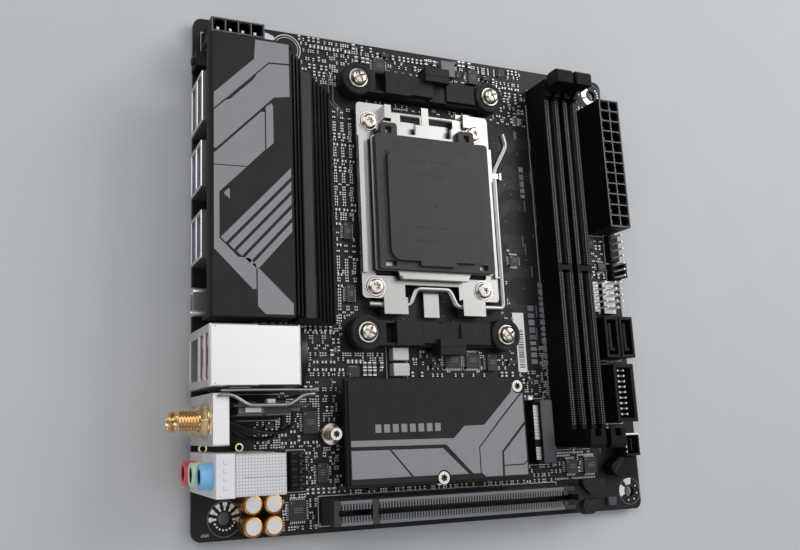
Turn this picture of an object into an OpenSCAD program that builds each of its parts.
// Small desktop motherboard, 170 mm square, made of separate solids. Lengths are millimetres.
// The origin is the centre of mounting hole C, on the underside of the board. +X runs from the
// rear connector edge to the front edge, +Y from the expansion slot edge to the processor power
// edge, and +Z out of the component side. Inside on_board(), x and y are measured from the
// board's corner by hole C, and z from the component side.

/* [Board] */
// Side of the square circuit board
board_side = 170; // [170:0.5:172]
// Thickness of the circuit board
board_t = 1.6; // [1.2:0.1:2]
// Radius of the board's corners
corner_r = 3; // [1:0.5:4]
// Radius of the mounting holes
mount_hole_r = 1.98; // [1.6:0.02:2.2]

/* [Processor socket] */
// Distance between cooler screws along X
cooler_pitch_x = 54; // [53:0.5:55]
// Distance between cooler screws along Y
cooler_pitch_y = 90; // [88:0.5:92]
// Thickness of the steel frame around the socket
frame_t = 1.0; // [0.8:0.1:1.2]
// Radius of the load lever's wire
lever_r = 1.15; // [1:0.05:1.2]

/* [Power stage] */
// Height of the heatsink's cover above the board
cover_top = 27; // [26.6:0.1:30]
// Number of chokes in the processor's power stage
choke_count = 9; // [5:1:10]

/* [Connectors] */
// Distance between the memory slots
dimm_pitch = 8.6; // [8.2:0.1:9]
// Height of the memory slot's body
dimm_h = 10.5; // [9.5:0.5:11.5]
// Height of the expansion slot's body
pcie_h = 11.25; // [10.5:0.25:11.5]
// Distance between the contacts of a power connector
power_pitch = 4.2; // [4:0.1:4.2]
// Height of a power connector's housing
power_h = 12.8; // [11:0.1:13]
// Inside radius of an audio jack
jack_bore_r = 1.8; // [1.75:0.01:1.9]
// Outside radius of an antenna socket's thread
antenna_r = 3.175; // [3:0.025:3.2]

/* [Hidden] */
$fn = 48;
see = 1;          // how far a cut runs past a face
hole_c = [10.16, 6.35];
mount_holes = [hole_c, [165.1, 6.35], [165.1, 163.83], [33.02, 163.83]];
socket = [84.3, 108.3];
cooler_holes = [for (sx = [-1, 1], sy = [-1, 1])
    [socket.x + sx * cooler_pitch_x / 2, socket.y + sy * cooler_pitch_y / 2]];
post_r = 2.5;
socket_screw_at = [[62, 79.2], [104.7, 79.2], [62, 138.6], [104.7, 138.6]];
screw_shaft_r = 1.25;
backplate_t = 2.4;
frame_z = 2.6;
frame_top = frame_z + frame_t;
plate_z = 5.0;
plate_t = 1.2;
cap_z = plate_z + plate_t;
lever_y = 73.2;
lever_z = 3.6;
lever_arm_x = 112.65;
hinge_y = 142.2;
hinge_z = 4.8;
hinge_r = 1.1;
bracket_top = 6.4;
eps_at = [3.2, 154.8];
atx_at = [157.2, 104.6];
power_d = 9.6;
dimm_x = 136.3;
dimm_w = 6.4;
dimm_pivot = [158.2, 4.4];
pcie_at = [41.5, 2.9];
pcie_size = [89.9, 7.5];
pcie_runs = [[43.8, 54.4], [56.8, 126.6]];
m2_z = 6.4;
m2_t = 2.8;
m2_posts = [[112.4, 45.1], [81.5, 15.5]];
side_post = [45, 30.6];
heatsink_y = [65.8, 150.2];
lan = [-1.1, 44.6, 26.2, 62.4, 27.8];
usb_y = [83.5, 105.8];
usb_size = [18, 15, 15.6];
jack_z = [6.4, 17.1, 27.8];
jack_y = 20.6;
jack_r = 3.5;
jack_back = 12.4;
antenna_z = [9, 22];
antenna_y = 35.5;
antenna_core_r = antenna_r - 0.3; // the unthreaded stretch inside the nut
thread_end = -3.1;
card_top = 32;
wire_r = 0.6;

// ---------- helpers ----------
module on_board() translate([-hole_c.x, -hole_c.y, board_t]) children();

module slab(low, high) translate(low) cube(high - low);

module post(p, r, h, z = 0) translate([p.x, p.y, z]) cylinder(h = h, r = r);

// An outline in X and Z, extruded from y0 to y1
module along_y(y0, y1) translate([0, y1, 0]) rotate([90, 0, 0]) linear_extrude(y1 - y0) children();

// An outline in Y and Z, extruded from x0 to x1
module along_x(x0, x1)
    translate([x0, 0, 0]) rotate([90, 0, 90]) linear_extrude(x1 - x0) children();

module rod_x(x0, x1, y, z, r) translate([x0, y, z]) rotate([0, 90, 0]) cylinder(h = x1 - x0, r = r);

module rounded_rect(low, high, r) {
    translate([low.x + r, low.y]) square([high.x - low.x - 2 * r, high.y - low.y]);
    translate([low.x, low.y + r]) square([high.x - low.x, high.y - low.y - 2 * r]);
    for (x = [low.x + r, high.x - r], y = [low.y + r, high.y - r])
        translate([x, y]) circle(r);
}

module chamfered_rect(low, high, c) polygon([
    [low.x + c, low.y], [high.x - c, low.y], [high.x, low.y + c], [high.x, high.y - c],
    [high.x - c, high.y], [low.x + c, high.y], [low.x, high.y - c], [low.x, low.y + c]]);

function unit(v) = v / norm(v);

// The points with each inner corner cut back by reach and rounded in steps
function rounded(points, reach, steps = 5) = [
    points[0],
    for (i = [1 : len(points) - 2], k = [0 : steps - 1])
        let (p = points[i], a = p + reach * unit(points[i - 1] - p),
            b = p + reach * unit(points[i + 1] - p), t = k / (steps - 1))
        (1 - t) * (1 - t) * a + 2 * t * (1 - t) * p + t * t * b,
    points[len(points) - 1]];

function heading(points, i) = unit(
    unit(points[min(i + 1, len(points) - 1)] - points[min(i, len(points) - 2)])
    + unit(points[max(i, 1)] - points[max(i - 1, 0)]));

// A round wire along a route. The side vector is never parallel to the route.
module wire(route, r, side, reach, sides = 12) {
    points = rounded(route, reach);
    last = len(points) - 1;
    rings = [for (i = [0 : last]) let (t = heading(points, i), n = unit(cross(side, t)),
        b = cross(t, n)) [for (k = [0 : sides - 1])
            points[i] + r * (cos(360 * k / sides) * n + sin(360 * k / sides) * b)]];
    polyhedron(points = [for (ring = rings) each ring], faces = concat(
        [[for (k = [0 : sides - 1]) k]],
        [[for (k = [sides - 1 : -1 : 0]) last * sides + k]],
        [for (i = [0 : last - 1], k = [0 : sides - 1])
            [(i + 1) * sides + k, (i + 1) * sides + (k + 1) % sides, i * sides + (k + 1) % sides,
                i * sides + k]]));
}

// ---------- board ----------
module pcb() color("#1b1d20") difference() {
    translate([-hole_c.x, -hole_c.y, 0]) linear_extrude(board_t)
        rounded_rect([0, 0], [board_side, board_side], corner_r);
    translate([-hole_c.x, -hole_c.y, 0]) {
        for (p = mount_holes) post(p, mount_hole_r, board_t + 2 * see, -see);
        for (p = cooler_holes) post(p, post_r + 0.2, board_t + 2 * see, -see);
        for (p = socket_screw_at) post(p, 1.7, board_t + 2 * see, -see);
    }
}

module backplate() color("#3a3c40") on_board() difference() {
    union() {
        translate([0, 0, -board_t - backplate_t]) linear_extrude(backplate_t) difference() {
            rounded_rect([50.6, 57], [118, 159.6], 5);
            rounded_rect([71, 92], [98, 125], 3);
            rounded_rect([68, 57 - see], [101, 66], 0.5);
            rounded_rect([68, 151], [101, 159.6 + see], 0.5);
        }
        for (p = cooler_holes) post(p, post_r, board_t + 0.2, -board_t - 0.2);
    }
    for (p = cooler_holes) post(p, 1.8, 12, -8);
    for (p = socket_screw_at) post(p, screw_shaft_r + 0.05, 12, -8);
}

module solder_tails() color("silver") on_board() {
    tail_h = 1.5;
    for (i = [0 : 3], j = [0 : 1])
        post([eps_at.x + 2.7 + i * power_pitch, eps_at.y + 2.7 + j * power_pitch], 0.6,
            tail_h, -board_t - tail_h);
    for (i = [0 : 11], j = [0 : 1])
        post([atx_at.x + 2.7 + j * power_pitch, atx_at.y + 2.7 + i * power_pitch], 0.6,
            tail_h, -board_t - tail_h);
    for (y = [18, 23.5], x = [3, 10, 17]) post([x, y], 0.6, tail_h, -board_t - tail_h);
    for (y = [46.5, 60.5], x = [8, 20]) post([x, y], 1, tail_h, -board_t - tail_h);
    for (y0 = usb_y, y = [1, 14], x = [5, 13]) post([x, y0 + y], 0.8, tail_h, -board_t - tail_h);
}

// ---------- processor socket ----------
module socket_base() color("#26272a") on_board() difference() {
    slab([62.8, 84, 0], [105.8, 132.6, 2.5]);
    slab([66, 89, 1.2], [103, 128, 2.5 + see]);
}

module contact_field() color("#b08d4a") on_board() difference() {
    slab([66, 89, 1.2], [103, 128, 2.0]);
    slab([79, 102, 1.2 - see], [90, 115, 2.0 + see]);
}

module socket_frame() color("silver") on_board() difference() {
    union() {
        translate([0, 0, frame_z]) linear_extrude(frame_t) difference() {
            rounded_rect([57.3, 75.4], [111.3, 145.8], 1.5);
            rounded_rect([62.3, 83.3], [106.3, 133.3], 0.8);
            translate([73.4, 75.4 - see]) square([21.4, 6]);
            translate([70.5, 140.2]) square([27.2, 5.6 + see]);
        }
        // side rails, ribbed along the cap
        for (x = [57.3, 109.5]) slab([x, 84, frame_top - 0.1], [x + 1.8, 133, frame_top + 1.3]);
        for (p = socket_screw_at) post(p, 3.2, frame_z + 0.2, 0);
        // lever bearings
        for (x = [64.2, 95]) slab([x, 69.8, 1.2], [x + 9, 75.6, 5.7]);
        // low tongue that runs out under the lever's crank
        slab([81.2, 69.4, 0.3], [87.2, 83.3, 2.1]);
        slab([81.2, 81.6, 0.3], [87.2, 83.3, frame_z + 0.1]);
        // load plate bearings
        for (x = [66.8, 98.8]) slab([x, 139.6, frame_z], [x + 2.6, 144.6, 7]);
        // catch for the lever, open at the top
        slab([110.6, 121.4, 1.2], [115.1, 124.2, 2.3]);
        slab([110.6, 121.4, 1.2], [111.3, 124.2, frame_top]);
        slab([114.2, 121.4, 1.2], [115.1, 124.2, 5]);
    }
    for (p = socket_screw_at) post(p, screw_shaft_r + 0.05, 12, -see);
    rod_x(55, 113, lever_y, lever_z, lever_r + 0.08);
    rod_x(60, 108, hinge_y, hinge_z, hinge_r + 0.08);
}

module load_plate() color("gainsboro") on_board() {
    translate([0, 0, plate_z]) linear_extrude(plate_t) difference() {
        union() {
            rounded_rect([61.8, 84.6], [107.8, 133], 0.8);
            translate([66.4, 132]) square([34.2, 6.6]);
            polygon([[69.6, 85], [98.6, 85], [97.2, 81.9], [71, 81.9]]);
        }
        rounded_rect([67, 90], [102, 127.5], 1);
        rounded_rect([73, 134.6], [79.4, 138.6 + see], 1);
        rounded_rect([87.6, 134.6], [94, 138.6 + see], 1);
    }
    slab([71, 81.9, plate_z], [97.2, 83, plate_z + 2]);
    // arms to the hinge rod, and the finger between them
    for (x = [69.8, 81.4, 94.8]) slab([x, 138, plate_z], [x + 3.6, hinge_y, plate_z + plate_t - 0.3]);
    slab([82.0, 138, plate_z], [84.8, 145.4, plate_z + plate_t]);
    rod_x(66.8, 101.4, hinge_y, hinge_z, hinge_r);
}

// The lever turns on its two straight runs, and the crank between them presses the load plate
module load_lever() color("silver") on_board() {
    crank_y = lever_y + 5.9;
    bend_r = lever_r - 0.02;
    rod_x(59.4, 73.2, lever_y, lever_z, lever_r);
    rod_x(95, 110.4, lever_y, lever_z, lever_r);
    wire([[73, lever_y, lever_z], [74.9, lever_y, lever_z], [77.6, crank_y, lever_z],
        [90.6, crank_y, lever_z], [93.3, lever_y, lever_z], [95.2, lever_y, lever_z]],
        bend_r, [0, 0, 1], 1.6);
    wire([[110.2, lever_y, lever_z], [lever_arm_x, lever_y, lever_z],
        [lever_arm_x, 124.8, lever_z], [lever_arm_x + 5, 134.6, lever_z + 1.4],
        [lever_arm_x + 3.4, 139.2, lever_z + 2]], bend_r, [0, 0, 1], 1.8);
}

module socket_cap() color("#303134") on_board() difference() {
    union() {
        translate([0, 0, cap_z]) linear_extrude(2) difference() {
            union() {
                rounded_rect([62.2, 84.8], [107.4, 133], 1.2);
                rounded_rect([64.4, 130], [70.8, 137.4], 1);
                rounded_rect([95.6, 130], [102, 137.4], 1);
            }
            rounded_rect([66.2, 133.4], [68.6, 136], 0.4);
            rounded_rect([97.8, 133.4], [100.2, 136], 0.4);
            rounded_rect([64.2, 85.8], [68.4, 87.8], 0.3);
            rounded_rect([101.2, 85.8], [104.6, 87.8], 0.3);
        }
        translate([0, 0, cap_z + 1.9]) linear_extrude(1.4) {
            rounded_rect([66, 87.8], [101.8, 127.2], 4);
            rounded_rect([77, 86.2], [91, 92], 0.8);
        }
        // skirt that locates the cap in the load plate
        translate([0, 0, cap_z - 1.8]) linear_extrude(1.9) difference() {
            rounded_rect([67.3, 90.3], [101.7, 127.2], 1);
            rounded_rect([69.3, 92.3], [99.7, 125.2], 1);
        }
    }
}

module socket_screws() color("silver") on_board() for (p = socket_screw_at) difference() {
    union() {
        post(p, 3.3, 0.5, frame_top);
        post(p, 2.7, 1.3, frame_top + 0.4);
        post(p, screw_shaft_r, frame_top + 3.6, -3.6);
    }
    for (a = [0, 60, 120]) translate([p.x, p.y, frame_top + 1.7]) rotate(a)
        cube([2.6, 0.9, 1.6], center = true);
}

// side is 1 for the bracket on the +Y side of the socket, and -1 for the other
module cooler_bracket(side) {
    y0 = socket.y + side * cooler_pitch_y / 2;
    x0 = socket.x - cooler_pitch_x / 2;
    x1 = socket.x + cooler_pitch_x / 2;
    color("#2a2b2e") on_board() difference() {
        union() {
            for (x = [x0, x1]) post([x, y0], 5.8, bracket_top);
            slab([x0, y0 - 4.4, 1.2], [x1, y0 + 4.4, 3.8]);
            slab([x0 + 4, y0 - 4.2, 3], [x0 + 11, y0 + 4.2, 6]);
            slab([x0 + 10.6, y0 - 4.2, 3], [x0 + 20.6, y0 + 4.2, 7]);
            slab([x0 + 20, y0 - 3.4, 3], [x0 + 30, y0 + 3.6, 6.4]);
            slab([x0 + 36, y0 - 3.6, 3], [x1 - 6, y0 + 3.6, 5.8]);
            // clip lug that a cooler hooks onto
            translate([0, y0, 0]) scale([1, side, 1]) {
                slab([x0 + 26, 2, 3], [x0 + 36, 7.4, 8.6]);
                slab([x0 + 29, -4.4, 1.2], [x0 + 36, 3, 5]);
            }
        }
        for (x = [x0, x1]) post([x, y0], 1.9, 20, -see);
        slab([x0 + 7, y0 - 3.3, 2.4], [x0 + 10.6, y0 + 3.3, 6 + see]);
    }
}

module cooler_bracket_top() cooler_bracket(1);

module cooler_bracket_bottom() cooler_bracket(-1);

module bracket_screws() color("silver") on_board() for (p = cooler_holes) difference() {
    union() {
        post(p, 4.2, 0.6, bracket_top);
        post(p, 3.5, 1.9, bracket_top + 0.5);
        post(p, 1.75, bracket_top + 3.4, -3.4);
    }
    for (a = [20, 110]) translate([p.x, p.y, bracket_top + 2.4]) rotate(a)
        cube([4.6, 1.1, 2.2], center = true);
}

// ---------- power stage ----------
module vrm_heatsink() color("#2b2c2e") on_board() difference() {
    y0 = heatsink_y[0];
    y1 = heatsink_y[1];
    union() {
        along_y(y0, y1) polygon([[16, 21.5], [16, 25], [25, 25], [31.2, 19.5], [31.2, 12], [26.6, 21.5]]);
        along_y(y0, y1 - 3.4) polygon([[31, 9], [31, 18.6], [34.8, 18], [46.6, 5.2],
            [46.6, 2.2], [32.6, 2.2], [31, 5.5]]);
    }
    for (x = [26.3 : 1.7 : 30]) slab([x, y0 - see, 27 - (x - 20) * 1.05], [x + 0.9, y1 + see, 27]);
    for (x = [35.8 : 2.2 : 45]) slab([x, y0 - see, 15.6 - (x - 34.8) * 1.08], [x + 1.1, y1 + see, 20]);
}

module vrm_cover() color("#1e1f21") on_board() {
    x0 = -0.6;
    x1 = 25;
    y0 = 64.4;
    y1 = 151.5;
    under = 25;
    along_y(y0, y1) polygon([[x0, under], [x0, cover_top - 1], [x0 + 1, cover_top],
        [x1, cover_top], [x1, under]]);
    slab([x0, y0, 17], [x1, heatsink_y[0], under]);
    slab([x0, heatsink_y[1], 17], [x1, y1, under]);
    slab([x0, y0, 22.5], [x0 + 1.2, y1, under]);
}

module vrm_thermal_pad() color("#8d9aa6") on_board()
    slab([34, heatsink_y[0] + 2, 1.2], [44, heatsink_y[1] - 6, 2.2]);

module power_stages() color("#1a1a1c") on_board() {
    y0 = heatsink_y[0] + 3;
    pitch = 8.4;
    for (i = [0 : 8]) slab([35.5, y0 + i * pitch, 0], [41.5, y0 + 5 + i * pitch, 1.2]);
}

module chokes() color("#6f7276") on_board() {
    y0 = heatsink_y[0] + 3;
    pitch = 8.4;
    for (i = [0 : choke_count - 1])
        slab([22.6, y0 + i * pitch, 0], [29.6, y0 + 7 + i * pitch, 7.4]);
    for (y = [49, 54.3]) slab([67.6, y, 0], [73.7, y + 4.4, 3.6]);
    slab([93.4, 161, 0], [99.4, 167.4, 3]);
}

module capacitors() color("#9fa3a8") on_board()
    for (y = [72 : 9 : 145]) post([20, y], 2.4, 8);

// ---------- power connectors ----------
// Cells run along X and Y, and each cell is open at the top
module power_housing(at, nx, ny) {
    wx = (nx - 1) * power_pitch + 5.4;
    wy = (ny - 1) * power_pitch + 5.4;
    difference() {
        slab([at.x, at.y, 0], [at.x + wx, at.y + wy, power_h]);
        for (i = [0 : nx - 1], j = [0 : ny - 1])
            translate([at.x + 2.7 + i * power_pitch, at.y + 2.7 + j * power_pitch, 2])
                linear_extrude(power_h)
                    if ((i + j) % 2 == 0) square(3.5, center = true);
                    else chamfered_rect([-1.75, -1.75], [1.75, 1.75], 0.7);
    }
}

module power_contacts(at, nx, ny) for (i = [0 : nx - 1], j = [0 : ny - 1])
    translate([at.x + 2.7 + i * power_pitch, at.y + 2.7 + j * power_pitch, 2])
        translate([-0.55, -0.55, 0]) cube([1.1, 1.1, 8.6]);

module eps_connector() color("#202124") on_board() power_housing(eps_at, 4, 2);

module eps_pins() color("silver") on_board() power_contacts(eps_at, 4, 2);

module atx_connector() color("#202124") on_board() {
    power_housing(atx_at, 2, 12);
    slab([atx_at.x + power_d, 122, 3], [atx_at.x + power_d + 1.6, 139, 9]);
}

module atx_pins() color("silver") on_board() power_contacts(atx_at, 2, 12);

// ---------- memory ----------
module dimm_slot(x) color("#1d1e20") on_board() difference() {
    y0 = 23.2;
    y1 = 155.6;
    tower_y = 161.4;
    fixed_top = 20;
    union() {
        slab([x - dimm_w / 2, y0 + 0.4, 0], [x + dimm_w / 2, y1, dimm_h]);
        // tall tower at the fixed end, tapered towards its foot
        along_x(x - dimm_w / 2, x + dimm_w / 2) polygon([[y0 + 1.2, 0], [y0 + 1.2, dimm_h],
            [y0, fixed_top - 1.4], [y0 + 1.4, fixed_top], [y0 + 6.6, fixed_top], [y0 + 6.6, 0]]);
        slab([x - dimm_w / 2, y1 - 1, 0], [x + dimm_w / 2, tower_y, dimm_h + 1.6]);
    }
    // groove for the module, with its key bar, and its run up the fixed tower
    slab([x - 0.9, y0 + 4, 2.6], [x + 0.9, 87.4, dimm_h + 3]);
    slab([x - 0.9, 89.2, 2.6], [x + 0.9, y1 + 0.4, dimm_h + 3]);
    slab([x - 1.6, y0 + 7.8, dimm_h - 2.4], [x + 1.6, 87.4, dimm_h + 3]);
    slab([x - 1.6, 89.2, dimm_h - 2.4], [x + 1.6, y1 - 1.2, dimm_h + 3]);
    slab([x - 1.2, y0 + 4, dimm_h - 1], [x + 1.2, y0 + 6.6 + see, fixed_top + see]);
    // pocket for the latch
    slab([x - 1.9, y1 + 0.2, 1.6], [x + 1.9, tower_y + see, dimm_h + 3]);
    rod_x(x - 2.7, x + 2.7, dimm_pivot[0], dimm_pivot[1], 1.0);
}

module dimm_latch(x) color("#26272a") on_board() {
    along_x(x - 1.7, x + 1.7) polygon([[156.2, 3], [156.2, 11], [157.8, 15], [161, 15],
        [161, 6.2], [159.8, 2.8], [158.4, 2.4]]);
    along_x(x - 3.4, x + 3.4) polygon([[157.2, 14], [157.2, 20], [161.7, 20], [162.4, 19.2],
        [162.4, 15], [161.4, 13.4], [158.4, 13.4]]);
    rod_x(x - 2.6, x + 2.6, dimm_pivot[0], dimm_pivot[1], 0.92);
}

module dimm_slot_1() dimm_slot(dimm_x);

module dimm_slot_2() dimm_slot(dimm_x + dimm_pitch);

module dimm_latch_1() dimm_latch(dimm_x);

module dimm_latch_2() dimm_latch(dimm_x + dimm_pitch);

module dimm_contacts() color("#caa75a") on_board()
    for (x = [dimm_x, dimm_x + dimm_pitch], side = [-1, 1], run = [[31.4, 86.8], [90, 154]])
        translate([x + side * 1.25 - 0.35, run[0], dimm_h - 2.4])
            cube([0.7, run[1] - run[0], 1.8]);

// ---------- expansion ----------
module pcie_slot() color("#232427") on_board() difference() {
    high = pcie_at + pcie_size;
    slab([pcie_at.x, pcie_at.y, 0], [high.x, high.y, pcie_h]);
    slab([pcie_at.x + 1.6, 5.7, 2.4], [54.6, 7.6, pcie_h + see]);
    slab([56.4, 5.7, 2.4], [high.x + see, 7.6, pcie_h + see]);
    slab([high.x - 3, pcie_at.y + 1.4, 6.6], [high.x + see, high.y - 1.4, pcie_h + see]);
    for (y = [4.7, 7.6], run = pcie_runs) slab([run[0], y, 3], [run[1], y + 1, pcie_h + see]);
}

module pcie_contacts() color("#caa75a") on_board()
    for (y = [4.7, 7.9], run = pcie_runs) slab([run[0], y, 3], [run[1], y + 0.7, pcie_h - 0.8]);

// The retention latch pivots about Y at the slot's end: its tail goes down, its hook goes out
module pcie_latch() color("#232427") on_board() {
    slab([131.8, 5.75, 4.2], [133.4, 7.55, 12.4]);
    slab([131.8, 3.4, 4.2], [142, 9.9, 6.6]);
    // pivot pin, proud of the arm on both sides
    translate([132.6, 10.5, 5]) rotate([90, 0, 0]) cylinder(h = 7.7, r = 0.75);
    translate([0, 0, 5.6]) linear_extrude(2.6) polygon([[137.7, 12.3], [147.4, 12.3], [147, 9.7],
        [144, 7.4], [140.4, 7.4], [137.7, 10]]);
    translate([0, 0, 5.6]) linear_extrude(2.6) polygon([[137.7, 5.3], [145.6, 5.3], [145.9, 4.1],
        [141.2, 0.4], [137.7, 0.4], [137, 3.3]]);
}

module m2_heatsink() color("#222325") on_board() difference() {
    union() {
        slab([47.6, 13.7, m2_z], [115.4, 48, m2_z + m2_t - 0.8]);
        along_y(14.5, 47.2) polygon([[47.6, m2_z + 1], [48.4, m2_z + m2_t], [114.6, m2_z + m2_t],
            [115.4, m2_z + 1]]);
    }
    for (p = m2_posts) post(p, 1.5, 20, -see);
    for (p = m2_posts) post(p, 2.5, 20, m2_z + 1.6);
}

module m2_heatsink_screws() color("silver") on_board() for (p = m2_posts) difference() {
    union() {
        post(p, 2.2, 1.2, m2_z + 1.6);
        post(p, 1.0, 5, m2_z - 3);
    }
    for (a = [0, 90]) translate([p.x, p.y, m2_z + 2.9]) rotate(a)
        cube([2.6, 0.7, 1.2], center = true);
}

module m2_thermal_pad() color("#9aa7b3") on_board() slab([54, 20, m2_z - 1.4], [108, 41, m2_z]);

module m2_connector() color("#2b2c2f") on_board() difference() {
    slab([121.4, 18.2, 0], [129, 40.4, 5.8]);
    slab([121.4 - see, 19.2, 3], [126.4, 39.4, 4]);
    slab([121.4 - see, 19.2, 4.6], [123.6, 39.4, 5.8 + see]);
}

module standoffs() color("silver") on_board() {
    for (p = m2_posts) difference() {
        post(p, 2.4, m2_z);
        post(p, 1.05, 10, 2);
    }
    // stand-off beside the rear connectors, with its screw
    post(side_post, 3.4, 2.6);
    difference() {
        post(side_post, 2.1, 4.2, 2.4);
        for (a = [0, 90]) translate([side_post.x, side_post.y, 6.6]) rotate(a)
            cube([2.4, 0.6, 1.4], center = true);
    }
}

module chipset() color("#303236") on_board() {
    slab([68, 20, 0], [90, 42, 1.2]);
    slab([73, 25, 1.2], [85, 37, 2.0]);
}

// ---------- wireless ----------
module wifi_bracket() color("#c9cbce") on_board() difference() {
    slab([-0.6, 28.5, 0], [4.2, 42.8, 30]);
    slab([0.4, 29.4, -see], [3.4, 41.9, 29.2]);
    slab([3, 29.4, -see], [4.2 + see, 41.9, 24]);
    for (z = antenna_z) rod_x(-2, 2, antenna_y, z, antenna_core_r + 0.05);
}

module wifi_card() color("#2f5a3c") on_board() {
    slab([5, 38.8, 2.6], [27, 39.6, card_top]);
    slab([6.4, 36.9, 10], [22, 38.8, 30]);
}

module wifi_socket() color("#242528") on_board() difference() {
    slab([4.4, 36.2, 0], [27.6, 42, 8.4]);
    slab([5, 38.8, 2.6], [27, 39.6, 8.4 + see]);
    slab([6, 36.2 - see, 7.6], [26, 38.8, 8.4 + see]);
}

module wifi_clip() color("silver") on_board() {
    z = card_top + wire_r + 0.02;
    wire([[28.6, 42.1, 0], [28.6, 42.1, z], [25.4, 42.1, z], [20.6, 39.2, z], [9, 39.2, z],
        [4.4, 42.1, z], [1.2, 42.1, z], [1.2, 42.1, 30]], wire_r, [0, 1, 0], 1.2);
    rod_x(1.2, 29.2, 43.32, z, wire_r);
}

module antenna_sockets() color("#c79a3f") on_board() for (z = antenna_z) difference() {
    union() {
        rod_x(-9.1, thread_end, antenna_y, z, antenna_r);
        rod_x(thread_end - 0.1, 0.5, antenna_y, z, antenna_core_r);
        rod_x(0.4, 1.6, antenna_y, z, 4.2);
        rod_x(1.5, 3.1, antenna_y, z, 1.6);
    }
    difference() {
        rod_x(-12.6, -5, antenna_y, z, 2.25);
        rod_x(-10.4, -4, antenna_y, z, 0.7);
    }
}

module antenna_nuts() color("#c79a3f") on_board() for (z = antenna_z) difference() {
    union() {
        translate([-2.9, antenna_y, z]) rotate([0, 90, 0]) cylinder(h = 1.9, r = 4.7, $fn = 6);
        rod_x(-1.0, -0.6, antenna_y, z, 4.9);
    }
    rod_x(-4, 1, antenna_y, z, antenna_core_r + 0.05);
}

module antenna_leads() color("#18181a") on_board() {
    wire([[3.2, antenna_y, antenna_z[1]], [7, 34.9, 21.6], [14, 32.6, 18], [21, 31.6, 17],
        [25.2, 33.2, 19], [25.2, 36, 22], [25.2, 38.7, 22.6]], wire_r, [0, 0, 1], 1.2, 8);
    wire([[3.2, antenna_y, antenna_z[0]], [8, 34.4, 8.8], [14, 30.6, 7], [21, 29.8, 9],
        [23.9, 32.2, 13], [24.2, 36, 15.4], [24.2, 38.7, 15.6]], wire_r, [0, 0, 1], 1.2, 8);
}

// ---------- rear connectors ----------
module audio_housing() color("#b9bcc0") on_board()
    slab([jack_back, 15.2, 0], [19.2, 26.2, 33.2]);

// Three jack modules stacked with a small gap, each with its barrel and its bore
module audio_jacks() color("#62b5e0") on_board() for (i = [0 : 2]) difference() {
    low = i == 0 ? 0 : (jack_z[i - 1] + jack_z[i]) / 2 + 0.05;
    high = i == 2 ? 33.5 : (jack_z[i] + jack_z[i + 1]) / 2 - 0.05;
    union() {
        slab([-0.5, 14.9, low], [4.8, 26.5, high]);
        slab([4.7, 15.2, low], [jack_back, 26.2, min(high, 33.2)]);
        rod_x(-4, 0, jack_y, jack_z[i], jack_r);
    }
    rod_x(-6, 12, jack_y, jack_z[i], jack_bore_r);
}

module audio_capacitors() color("#d6b25e") on_board()
    for (x = [17, 23.5], y = [4.2, 10.6]) post([x, y], 3.05, 8);

module port_shell(low, high, cells) difference() {
    slab(low, high);
    for (c = cells) slab([low.x - see, c[0], c[1]], [low.x + 11, c[2], c[3]]);
}

module video_ports() color("silver") on_board()
    port_shell([-0.8, 126.4, 0], [15, 143.2, 17],
        [[127.6, 2, 142, 7.4], [127.2, 9.8, 142.4, 15.4]]);

module usb_stacks() color("silver") on_board() for (y = usb_y)
    port_shell([-0.8, y, 0], [usb_size.x - 0.8, y + usb_size.y, usb_size.z],
        [for (z = [1.6, 9]) [y + 1, z, y + usb_size.y - 1, z + 5.4]]);

module usb_c_port() color("silver") on_board() difference() {
    along_x(-0.8, 7.4) rounded_rect([67.5, 0.6], [76.5, 5.2], 1.6);
    along_x(-2, 6) rounded_rect([68.2, 1.2], [75.8, 4.6], 1.2);
    slab([-2, 60, -1], [9, 80, 0.6]);
}

module lan_usb_port() color("gainsboro") on_board()
    port_shell([lan[0], lan[1], 0], [lan[2], lan[3], lan[4]],
        [[47.2, 1.4, 59.8, 12.6], [47, 14.6, 60, 19.9], [47, 21.4, 60, 26.7]]);

module port_tongues() color("#2f6fc4") on_board() {
    for (y = usb_y, z = [3.6, 11]) slab([0.2, y + 2, z], [10.2, y + 13, z + 1.9]);
    for (z = [16.6, 23.4]) slab([0, 48, z], [9.9, 59, z + 1.9]);
    slab([0.2, 130, 4], [10.2, 140, 5.2]);
    slab([0.2, 130, 12], [10.2, 140, 13.2]);
    slab([0.4, 69.4, 2.6], [6, 74.6, 3.2]);
}

module flash_switch() color("#1c1d1f") on_board() difference() {
    slab([-0.5, 149.4, 0], [3.2, 154.4, 7.2]);
    rod_x(-2, 1.6, 151.9, 4.2, 1.4);
}

module flash_button() color("#3a3b3e") on_board() rod_x(-1.4, 0.6, 151.9, 4.2, 1.33);

module cmos_battery() color("#1b1b1d") on_board() rod_x(26.4, 30.8, 54.2, 10.8, 10.2);

// ---------- small parts ----------
module chips() color("#26272a") on_board() {
    chip_at = [[30.6, 4.2, 36.4, 10.6, 1.0], [40.2, 15.6, 43.6, 21.6, 1.6],
        [144.6, 13.8, 150.2, 19.6, 1.2], [89, 52, 95.4, 57.4, 1.2], [97.4, 52, 103, 57.4, 1.2],
        [106, 51, 110, 57, 1.6], [151.2, 31, 154.2, 35, 1.4], [151.2, 37, 154.2, 42, 1.4],
        [35.8, 31, 40.8, 38, 1.2], [106, 160.4, 110, 166, 1.4], [66, 159.6, 71, 165, 1.2],
        [52.4, 74, 55.4, 80, 1.2], [52.2, 96, 55.2, 102, 1.2], [119, 90, 123, 94, 1.0],
        [155.2, 98.4, 158.2, 103.2, 1.4], [159.4, 89.8, 163.2, 93.2, 1.4], [136.6, 14, 141.4, 19, 1.2]];
    for (c = chip_at) slab([c[0], c[1], 0], [c[2], c[3], c[4]]);
}

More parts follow.
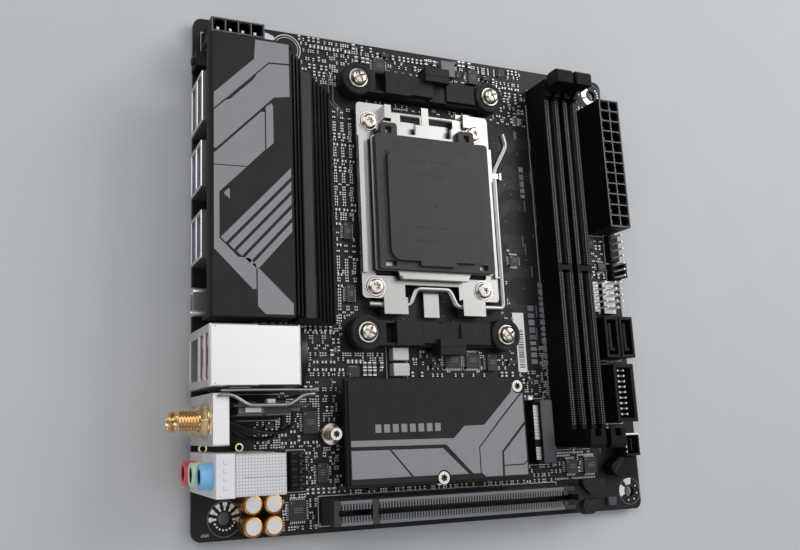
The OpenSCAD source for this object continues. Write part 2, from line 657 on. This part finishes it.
module pin_headers() color("#242528") on_board() {
    // low header of four pins, and below it one of three pins with a polarity wall
    slab([164.8, 93.6, 0], [169, 104.2, 2.6]);
    slab([164.8, 86.2, 0], [169, 92.8, 2.6]);
    slab([168, 86.6, 2.5], [169, 92.4, 6]);
    // front panel header and its neighbour
    slab([159.4, 72.8, 0], [164.6, 85.6, 2.5]);
    slab([154.6, 73.4, 0], [157.2, 85.2, 2.5]);
    // audio header beside the rear block
    slab([30.8, 13.6, 0], [35.9, 25.4, 2.5]);
}

module header_pins() color("#cfc39a") on_board() {
    for (i = [0 : 3]) slab([165.7, 94.6 + i * 2.7, 2.6], [166.34, 95.24 + i * 2.7, 8.2]);
    for (i = [0 : 2]) slab([165.7, 86.8 + i * 2.4, 2.6], [166.34, 87.44 + i * 2.4, 8.2]);
    for (x = [160.4, 162.94], i = [0 : 4])
        slab([x, 74.2 + i * 2.4, 2.5], [x + 0.64, 74.84 + i * 2.4, 8.6]);
    for (i = [0 : 4]) slab([155.6, 74.2 + i * 2.4, 2.5], [156.24, 74.84 + i * 2.4, 8.6]);
    for (x = [31.8, 34.3], i = [0 : 4])
        slab([x, 14.4 + i * 2.4, 2.5], [x + 0.64, 15.04 + i * 2.4, 8.6]);
}

// Two upright drive connectors, each open at the top round an L-shaped tongue
module sata_connectors() color("#1b1c1e") on_board() for (x = [153.6, 160.4]) {
    difference() {
        slab([x, 55.4, 0], [x + 6.2, 70.8, 8.5]);
        slab([x + 1, 56.6, 2], [x + 5.2, 69.6, 8.5 + see]);
    }
    slab([x + 2.3, 58, 2], [x + 3.5, 68.4, 7.6]);
    slab([x + 3.5, 58, 2], [x + 4.5, 59.2, 7.6]);
}

module front_connectors() color("#1d1e20") on_board() {
    // front USB header: a shroud round two rows of pins
    difference() {
        slab([155.2, 31.8, 0], [164.4, 53, 9]);
        slab([156.6, 33.2, 2], [163, 51.6, 9 + see]);
    }
    for (x = [158.4, 160.9], i = [0 : 8])
        slab([x, 34.4 + i * 2, 2], [x + 0.5, 34.9 + i * 2, 7]);
    // front USB-C connector shell
    difference() {
        slab([159.4, 19.6, 0], [165.6, 27.4, 7]);
        slab([160.2, 20.4, 1.5], [164.8, 26.6, 7 + see]);
    }
    // chamfered corner block
    linear_extrude(5) polygon([[153.7, 16.4], [157.6, 19.2], [165.4, 19.2], [165.4, 14],
        [163, 12.4], [155.8, 12.6], [153.7, 14.8]]);
}

pcb();
backplate();
solder_tails();
socket_base();
contact_field();
socket_frame();
load_plate();
load_lever();
socket_cap();
socket_screws();
cooler_bracket_top();
cooler_bracket_bottom();
bracket_screws();
vrm_heatsink();
vrm_cover();
vrm_thermal_pad();
power_stages();
chokes();
capacitors();
eps_connector();
eps_pins();
atx_connector();
atx_pins();
dimm_slot_1();
dimm_slot_2();
dimm_latch_1();
dimm_latch_2();
dimm_contacts();
pcie_slot();
pcie_contacts();
pcie_latch();
m2_heatsink();
m2_heatsink_screws();
m2_thermal_pad();
m2_connector();
standoffs();
chipset();
wifi_bracket();
wifi_card();
wifi_socket();
wifi_clip();
antenna_sockets();
antenna_nuts();
antenna_leads();
audio_housing();
audio_jacks();
audio_capacitors();
video_ports();
usb_stacks();
usb_c_port();
lan_usb_port();
port_tongues();
flash_switch();
flash_button();
cmos_battery();
chips();
pin_headers();
header_pins();
sata_connectors();
front_connectors();
